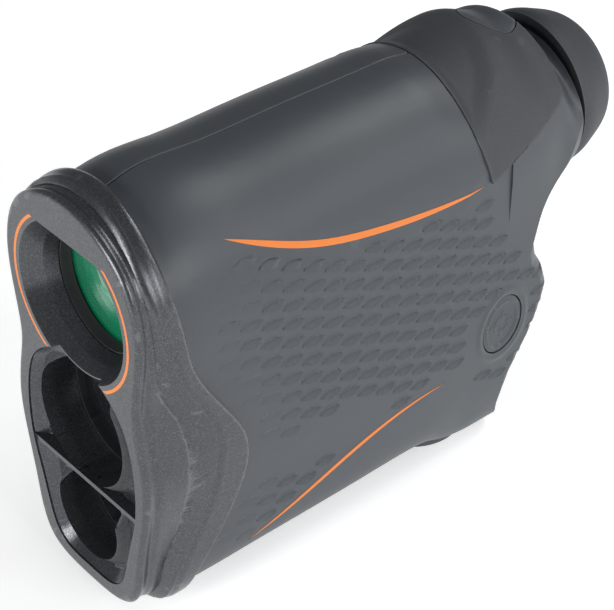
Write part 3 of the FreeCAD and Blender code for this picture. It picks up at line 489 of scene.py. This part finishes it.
def shapedCopy(node, name, body, cuts, depthAt, seamSide=0, paintedShadeAt=None):
    # A CAD piece cut finer where wanted and pressed in by a depth in millimetres at each place.
    me = nodes[node].data.copy()
    keepFacing(me)
    bm = bmesh.new()
    bm.from_mesh(me)
    bmesh.ops.remove_doubles(bm, verts=bm.verts, dist=2e-6)
    bm.normal_update()
    for longest, want in cuts:
        splitLong(bm, longest * MM, want)
    if seamSide:
        near = [f for f in bm.faces if abs(f.calc_center_median().x) < 0.006 and abs(f.normal.z) > 0.5]
        parts = list({v for f in near for v in f.verts}) + list({e for f in near for e in f.edges}) + near
        bmesh.ops.bisect_plane(bm, geom=parts, dist=1e-7, plane_co=(seamSide * grip["seamHalf"], 0, 0),
                               plane_no=(1, 0, 0))
    bm.to_mesh(me)
    bm.free()
    facing = readFacing(me)
    count = len(me.vertices)
    co = np.empty(count * 3)
    me.vertices.foreach_get("co", co)
    co = co.reshape(-1, 3) / MM - np.array(axisShift)
    owner = np.empty(len(me.loops), dtype=np.int32)
    me.loops.foreach_get("vertex_index", owner)
    out = np.zeros((count, 3))
    np.add.at(out, owner, facing)
    out /= np.maximum(np.linalg.norm(out, axis=1, keepdims=True), 1e-9)
    depth = depthAt(co, out)
    slope = np.zeros((count, 3))
    for axis in range(3):
        step = np.zeros(3)
        step[axis] = 0.06
        slope[:, axis] = (depthAt(co + step, out) - depthAt(co - step, out)) / 0.12
    slope -= out * (slope * out).sum(axis=1, keepdims=True)
    # Weight of painted shade per vertex, dark along the upper edges of the leaf recesses.
    dark = paintedShadeAt(co, out) if paintedShadeAt else np.zeros(count)
    co -= out * depth[:, None]
    middle = np.zeros(count, dtype=bool)
    if seamSide:
        middle = (np.abs(co[:, 0]) < 1e-3) & (np.abs(out[:, 2]) > 0.45)
        middle &= ((out[:, 2] > 0) & (co[:, 2] > 12.0)) | ((out[:, 2] < 0) & (co[:, 2] < -49.5))
        co[middle, 2] -= np.sign(out[middle, 2]) * grip["seamDepth"]
        # The seam groove gets full painted shade.
        dark[middle] = 1.0
    me.attributes.new("creaseShade", "FLOAT", "POINT").data.foreach_set("value", dark.astype(np.float32))
    agree = (facing * out[owner]).sum(axis=1) > 0.85
    facing[agree] += slope[owner][agree]
    facing /= np.maximum(np.linalg.norm(facing, axis=1, keepdims=True), 1e-9)
    me.vertices.foreach_set("co", ((co + np.array(axisShift)) * MM).ravel())
    me.update()
    if seamSide:
        for f in me.polygons:
            if abs(f.center.x) < grip["seamHalf"] and any(middle[v] for v in f.vertices):
                facing[f.loop_start:f.loop_start + f.loop_total] = f.normal
    me.normals_split_custom_set([tuple(n) for n in facing])
    say("%s %d faces" % (node, len(me.polygons)))
    return placePiece(me, name, slotOf[node], body, [node])


def shellDepth(sign):
    def depthAt(p, out):
        outer = (out[:, 0] * sign > 0.12) & (p[:, 0] * sign > 8.0) & reliefMask(p[:, 1], p[:, 2])
        return np.where(outer, reliefDepth(p[:, 1], p[:, 2]), 0.0)
    return depthAt


def shellWanted(sign):
    def want(p, out):
        return (out[:, 0] * sign > 0.12) & (p[:, 0] * sign > 8.0) & reliefMask(p[:, 1], p[:, 2])
    return want


def edgeWanted(sign):
    flank = shellWanted(sign)

    def want(p, out):
        wanted = flank(p, out)
        wanted[wanted] = leafEdge(p[wanted, 1], p[wanted, 2], 0.30) > 0.30
        return wanted
    return want


# Painted shade along the upper edge of each leaf recess on the flank, as a weight from 0 to 1.
def shellPaintedShade(sign):
    flank = shellWanted(sign)

    def paintedShadeAt(p, out):
        return np.where(flank(p, out), leafEdge(p[:, 1], p[:, 2], 0.17), 0.0)
    return paintedShadeAt


# saddle pad and mode button
saddle = {"mesh": 0.6, "hollow": 0.55, "edgeRound": 0.18, "front": 62.6, "back": 84.2,
          "ridge": [(-2.0, 63.0), (4.0, 63.6), (8.0, 65.0), (12.0, 68.0), (15.0, 71.2), (18.5, 73.6)],
          "lower": [(62.0, 0.9), (65.4, 0.3), (83.6, 7.2), (86.0, 8.0)]}
mark = {"mesh": 0.22, "ring": 0.82, "ringWidth": 0.06, "bar": 0.42, "circle": 1.55, "reach": 2.7}


def saddleDepth(p, out):
    y, z = p[:, 1], p[:, 2]
    line = flowing(saddle["ridge"], z)
    ahead = eased((line - y) / 3.2)
    fade = eased((y - saddle["front"]) / 2.2) * eased((z - smoothValue(saddle["lower"], y)) / 2.0)
    hollow = saddle["hollow"] * ahead * fade
    crestUp = -0.16 * np.exp(-((y - line - 0.6) / 0.9) ** 2) * fade * eased((16.0 - z) / 2.5)
    side = np.minimum(np.abs(y - saddle["front"]), z - smoothValue(saddle["lower"], y))
    edge = saddle["edgeRound"] * (1 - eased(side / 0.5)) ** 2
    return np.where(out[:, 2] > -0.3, hollow + crestUp + edge, 0.0) * (np.hypot(p[:, 0], z) > 14.6)


def markDepth(p, out):
    # A raised rim and a plain sighting mark on the oval button.
    y, z = p[:, 1] - grip["badge"][0], p[:, 2] - grip["badge"][1]
    r = np.hypot(y / grip["badge"][2], z / grip["badge"][3])
    rim = 0.16 * np.exp(-((r - mark["ring"]) / mark["ringWidth"]) ** 2)
    dish = -0.14 * (1 - eased((r - 0.66) / 0.12))
    far = np.hypot(y, z)
    bars = (np.exp(-(y / 0.26) ** 4) + np.exp(-(z / 0.26) ** 4)) * eased((mark["reach"] - far) / 0.3)
    bars *= eased((far - 0.8) / 0.3)
    circle = np.exp(-((far - mark["circle"]) / 0.22) ** 4)
    raised = 0.16 * np.clip(np.maximum(bars, circle), 0, 1)
    return np.where(out[:, 0] > 0.5, 0.10 - 0.9 * (rim + dish + raised), 0.0)




# front bezel
bezel = {
    "mesh": 0.00055, "edgeRadius": 0.9, "groove": 0.30, "crestRound": 0.35, "seamRound": 0.22,
    "shoulder": [(22.0, 3.2), (12.0, 2.2), (0.0, 2.7), (-9.0, 3.9), (-15.7, 7.2), (-21.4, 8.1),
                 (-29.4, 7.5), (-37.2, 6.1), (-43.7, 4.2), (-60.0, 4.0)],
    "pocket": 2.2, "rim": 0.35, "chamfer": 1.7, "rib": -32.3,
}


def edgeHeights(points):
    # Sorted (height, y) of the places along an edge, to read it as a profile.
    order = np.argsort(points[:, 2])
    return points[order, 2], points[order, 1]


def nearestOn(points, values, query):
    # For each query place, the nearest of some points and the value stored with it.
    tree = KDTree(len(points))
    for i, p in enumerate(points):
        tree.insert((p[0], 0.0, p[1]), i)
    tree.balance()
    found = [tree.find((q[0], 0.0, q[1]))[1] for q in query]
    return points[found], values[found]


def bezelPiece():
    me = nodes["front_bezel"].data.copy()
    keepFacing(me)
    bm = bmesh.new()
    bm.from_mesh(me)
    bmesh.ops.remove_doubles(bm, verts=bm.verts, dist=2e-6)
    bm.normal_update()
    splitLong(bm, bezel["mesh"], lambda p, out: out[:, 1] < 0.3)
    bm.to_mesh(me)
    bm.free()
    facing = readFacing(me)
    count = len(me.vertices)
    co = np.empty(count * 3)
    me.vertices.foreach_get("co", co)
    co = co.reshape(-1, 3) / MM - np.array(axisShift)
    owner = np.empty(len(me.loops), dtype=np.int32)
    me.loops.foreach_get("vertex_index", owner)
    x, y, z = co[owner, 0], co[owner, 1], co[owner, 2]
    away = facing[:, 0] * x + facing[:, 2] * (z + 18.0)
    ringTrim = (np.abs(np.hypot(x, z) - 13.5) < 0.6) & (y < 0.6)
    front = (facing[:, 1] < -0.9) & (y < 0.02)
    outward = (np.abs(facing[:, 1]) < 0.3) & (away > 0) & ~ringTrim
    floor = (facing[:, 1] < -0.9) & (np.abs(y - bezel["pocket"]) < 0.02)
    pocketWall = (np.abs(facing[:, 1]) < 0.3) & (away < 0) & (y < bezel["pocket"] + 0.02) & (z < -12.8)
    pocketWall &= (np.abs(z - bezel["rib"]) > 0.55) & (np.hypot(x, z) > 12.9)

    def having(mask):
        out = np.zeros(count, dtype=bool)
        out[owner[mask]] = True
        return out

    def meanFacing(mask):
        out = np.zeros((count, 3))
        np.add.at(out, owner[mask], facing[mask])
        out[:, 1] = 0.0
        return out / np.maximum(np.linalg.norm(out, axis=1, keepdims=True), 1e-9)

    flat = co[:, [0, 2]]
    outwardWay = meanFacing(outward & (y < 0.02))
    rim = having(front) & having(outward & (y < 0.02))
    rim &= ((co[:, 0] ** 2 + co[:, 2] ** 2) > 14.3 ** 2) | (co[:, 2] < -11.0)
    outline, outlineWay = flat[rim], outwardWay[rim]
    spotAll, wayAll = nearestOn(outline, outlineWay, flat)
    beyond = ((flat - spotAll) * wayAll[:, [0, 2]]).sum(axis=1)
    wall = outward & (np.abs(beyond[owner]) < 0.08)
    flank = outward & (beyond[owner] > 0.12) & (y > 1.5)
    step = (facing[:, 1] < -0.55) & (y > 1.5) & (np.abs(facing[:, 0]) < 0.25) & (beyond[owner] > -0.02)
    wallWay = meanFacing(wall)
    flankWay = meanFacing(flank)
    ridge = having(step) & having(flank)
    crest = np.interp(co[:, 2], *edgeHeights(co[ridge]))
    back = having(flank) & having(facing[:, 1] > 0.5)
    seam = np.interp(co[:, 2], *edgeHeights(co[back]))
    crestLine, crestWay = co[ridge][:, [0, 2]], flankWay[ridge]
    pocketRim = having(floor) & having(pocketWall)
    pocketWay = meanFacing(pocketWall)
    say("bezel outline %d, crest %d, pocket %d" % (rim.sum(), ridge.sum(), pocketRim.sum()))
    moved = co.copy()
    turned = facing.copy()
    radius = bezel["edgeRadius"]

    def turn(vertexNormals, loopsToTurn):
        n = vertexNormals[owner[loopsToTurn]]
        turned[loopsToTurn] = n / np.maximum(np.linalg.norm(n, axis=1, keepdims=True), 1e-9)

    # rounded front edge: the flat face side of it
    who = np.nonzero(having(front) & ~having(wall & (y > 0.02)))[0]
    spot, way = nearestOn(outline, outlineWay, flat[who])
    inward = np.linalg.norm(flat[who] - spot, axis=1)
    hit = inward < radius
    who, spot, way, inward = who[hit], spot[hit], way[hit], inward[hit]
    angle = math.pi / 4 * (1 + inward / radius)
    push = radius * (1 - np.cos(angle))
    moved[who, 0] = spot[:, 0] - way[:, 0] * push
    moved[who, 2] = spot[:, 1] - way[:, 2] * push
    moved[who, 1] = radius * (1 - np.sin(angle))
    normals = np.zeros((count, 3))
    normals[who] = way * np.cos(angle)[:, None]
    normals[who, 1] = -np.sin(angle)
    edgeSet = np.zeros(count, dtype=bool)
    edgeSet[who] = True
    turn(normals, front & edgeSet[owner])
    # the wall behind it, with its shallow groove, up to the shoulder
    onWall = having(wall)
    vy, vz = co[:, 1], co[:, 2]
    shoulder = np.minimum(flowing(bezel["shoulder"], vz), crest - 0.6)
    angle = math.pi / 4 * (1 - np.clip(vy / radius, 0, 1))
    groove = bezel["groove"] * np.exp(-((vy - 1.9) / 0.75) ** 2) * eased(vy / 0.9)
    grooveBehind = bezel["groove"] * np.exp(-((vy + 0.05 - 1.9) / 0.75) ** 2) * eased((vy + 0.05) / 0.9)
    slope = (grooveBehind - groove) / 0.05
    inset = radius * (1 - np.cos(angle)) + groove
    pureWall = onWall & ~edgeSet
    moved[pureWall] -= wallWay[pureWall] * inset[pureWall][:, None]
    drop = radius * (1 - np.sin(angle))
    reach = np.minimum(vy, np.maximum(shoulder, radius))
    moved[pureWall, 1] = np.where(vy < radius, drop, reach)[pureWall]
    normals = wallWay * np.cos(angle)[:, None]
    normals[:, 1] = -np.sin(angle) + slope
    turn(normals, wall)
    # sloped shoulder from the wall up to the crest
    who = np.nonzero(having(step))[0]
    spotF, wayF = nearestOn(outline, outlineWay, flat[who])
    spotC, wayC = nearestOn(crestLine, crestWay, flat[who])
    toF = np.linalg.norm(flat[who] - spotF, axis=1)
    toC = np.linalg.norm(flat[who] - spotC, axis=1)
    t = toF / np.maximum(toF + toC, 1e-6)
    shaped = 0.45 * t + 0.55 * t * t
    rise = crest[who] - shoulder[who]
    moved[who, 1] = shoulder[who] + rise * shaped
    roundOff = bezel["crestRound"] * eased((t - 0.55) / 0.45)
    moved[who] -= wayC * roundOff[:, None]
    normals = np.zeros((count, 3))
    normals[who] = (wayF * (1 - t)[:, None] + wayC * t[:, None]) * (rise * (0.45 + 1.1 * t))[:, None]
    normals[who, 1] = -(toF + toC)
    tip = eased((t - 0.7) / 0.3) * 1.2
    normals[who] += wayC * (tip * (toF + toC + 0.5))[:, None]
    turn(normals, step)
    # flank behind the crest, eased at both its edges
    onFlank = having(flank) & ~having(step)
    behindCrest = vy - crest
    inset = bezel["crestRound"] * (1 - eased(behindCrest / 1.4))
    part = np.clip(behindCrest / 1.4, 0, 1)
    lean = bezel["crestRound"] * 6 * part * (1 - part) / 1.4
    late = np.clip(1 - (seam - vy) / 0.6, 0, 1)
    inset += bezel["seamRound"] * late ** 2
    moved[onFlank] -= flankWay[onFlank] * inset[onFlank][:, None]
    normals = flankWay.copy()
    normals[:, 1] = -lean + 2 * bezel["seamRound"] * late / 0.6
    turn(normals, flank)
    # lower windows: a sloped rim instead of a square step
    who = np.nonzero(having(floor))[0]
    points, ways = co[pocketRim][:, [0, 2]], pocketWay[pocketRim]
    spot, way = nearestOn(points, ways, flat[who])
    inward = np.linalg.norm(flat[who] - spot, axis=1)
    t = np.clip(inward / bezel["chamfer"], 0, 1)
    depth = bezel["pocket"] - bezel["rim"]
    fade = eased((-13.2 - co[who, 2]) / 2.5)
    moved[who, 1] = bezel["pocket"] * (1 - fade) + (bezel["rim"] + depth * t) * fade
    normals = np.zeros((count, 3))
    normals[who] = way * (np.where(t < 1, depth / bezel["chamfer"], 0.0) * fade)[:, None]
    normals[who, 1] = -1.0
    turn(normals, floor)
    who = np.nonzero(having(pocketWall) & ~having(floor))[0]
    spot, _ = nearestOn(points, ways, flat[who])
    who = who[np.linalg.norm(flat[who] - spot, axis=1) < 0.08]
    fade = eased((-13.2 - co[who, 2]) / 2.5)
    moved[who, 1] = co[who, 1] * (1 - fade + fade * bezel["rim"] / bezel["pocket"])
    me.vertices.foreach_set("co", ((moved + np.array(axisShift)) * MM).ravel())
    me.update()
    me.normals_split_custom_set([tuple(n) for n in turned])
    say("bezel %d faces" % len(me.polygons))
    return placePiece(me, "bezel_shaped", "bezel_plastic", "casing", ["front_bezel"])


bezelPiece()
for side, node, name in ((1, "left_shell", "left_casing"), (-1, "right_shell", "right_casing")):
    shellCuts = [(grip["mesh"], shellWanted(side)), (grip["edgeMesh"], edgeWanted(side))]
    shapedCopy(node, name, "casing", shellCuts, shellDepth(side), side, shellPaintedShade(side))
upperFaces = [(saddle["mesh"], lambda p, out: out[:, 2] > -0.2)]
shapedCopy("saddle_pad", "saddle", "casing", upperFaces, saddleDepth)
outerFace = [(mark["mesh"], lambda p, out: out[:, 0] > 0.5)]
shapedCopy("mode_button", "mode_pad", "mode_button", outerFace, markDepth)


# floor, lights and camera
def stageFloor():
    bm = bmesh.new()
    bmesh.ops.create_grid(bm, x_segments=24, y_segments=24, size=1.6)
    me = bpy.data.meshes.new("floor")
    bm.to_mesh(me)
    bm.free()
    ob = bpy.data.objects.new("floor", me)
    bpy.context.scene.collection.objects.link(ob)
    m = bpy.data.materials.new("floor")
    m.use_nodes = True
    t = m.node_tree
    b = t.nodes["Principled BSDF"]
    co = t.nodes.new("ShaderNodeTexCoord").outputs["Object"]
    n = noiseNode(t, co, 40.0, 3.0)
    t.links.new(mixColour(t, n, (0.90, 0.90, 0.90, 1), (0.93, 0.93, 0.93, 1)), b.inputs["Base Color"])
    b.inputs["Roughness"].default_value = 0.9
    b.inputs["Emission Color"].default_value = (1.0, 1.0, 1.0, 1.0)
    b.inputs["Emission Strength"].default_value = 0.45
    me.materials.append(m)


def areaLight(name, spot, aim, size, power):
    l = bpy.data.lights.new(name, "AREA")
    l.shape = "RECTANGLE"
    l.size, l.size_y = size
    l.energy = power
    ob = bpy.data.objects.new(name, l)
    bpy.context.scene.collection.objects.link(ob)
    ob.location = spot
    ob.rotation_euler = (Vector(aim) - Vector(spot)).to_track_quat("-Z", "Y").to_euler()
    return ob


stageFloor()
studio = {"world": 0.22, "side": 1.7, "top": 1.1, "front": 2.6, "strip": 0.8}
world = bpy.data.worlds.new("studio")
bpy.context.scene.world = world
world.use_nodes = True
world.node_tree.nodes["Background"].inputs[0].default_value = (0.95, 0.97, 1.0, 1)
world.node_tree.nodes["Background"].inputs[1].default_value = studio["world"]
areaLight("side", (0.60, 0.05, 0.26), (0, 0, 0.03), (0.40, 0.25), studio["side"])
areaLight("top", (0.10, 0.40, 0.55), (0, 0, 0.05), (0.30, 0.20), studio["top"])
areaLight("front", (0.05, -0.60, 0.20), (0, -0.04, 0.04), (0.30, 0.25), studio["front"])
areaLight("strip", (0.42, 0.42, 0.30), (0, 0, 0.05), (0.06, 0.5), studio["strip"])

view = {"spot": (0.220711, -0.189708, 0.250437), "aim": (-0.61304, 0.51154, -0.60209), "lens": 137.15}
camData = bpy.data.cameras.new("camera")
camData.lens = view["lens"]
camData.sensor_width = 36.0
camData.clip_start = 0.01
camera = bpy.data.objects.new("camera", camData)
bpy.context.scene.collection.objects.link(camera)
camera.location = view["spot"]
camera.rotation_euler = Vector(view["aim"]).to_track_quat("-Z", "Y").to_euler()
bpy.context.scene.camera = camera
bpy.context.scene.view_settings.view_transform = "Standard"
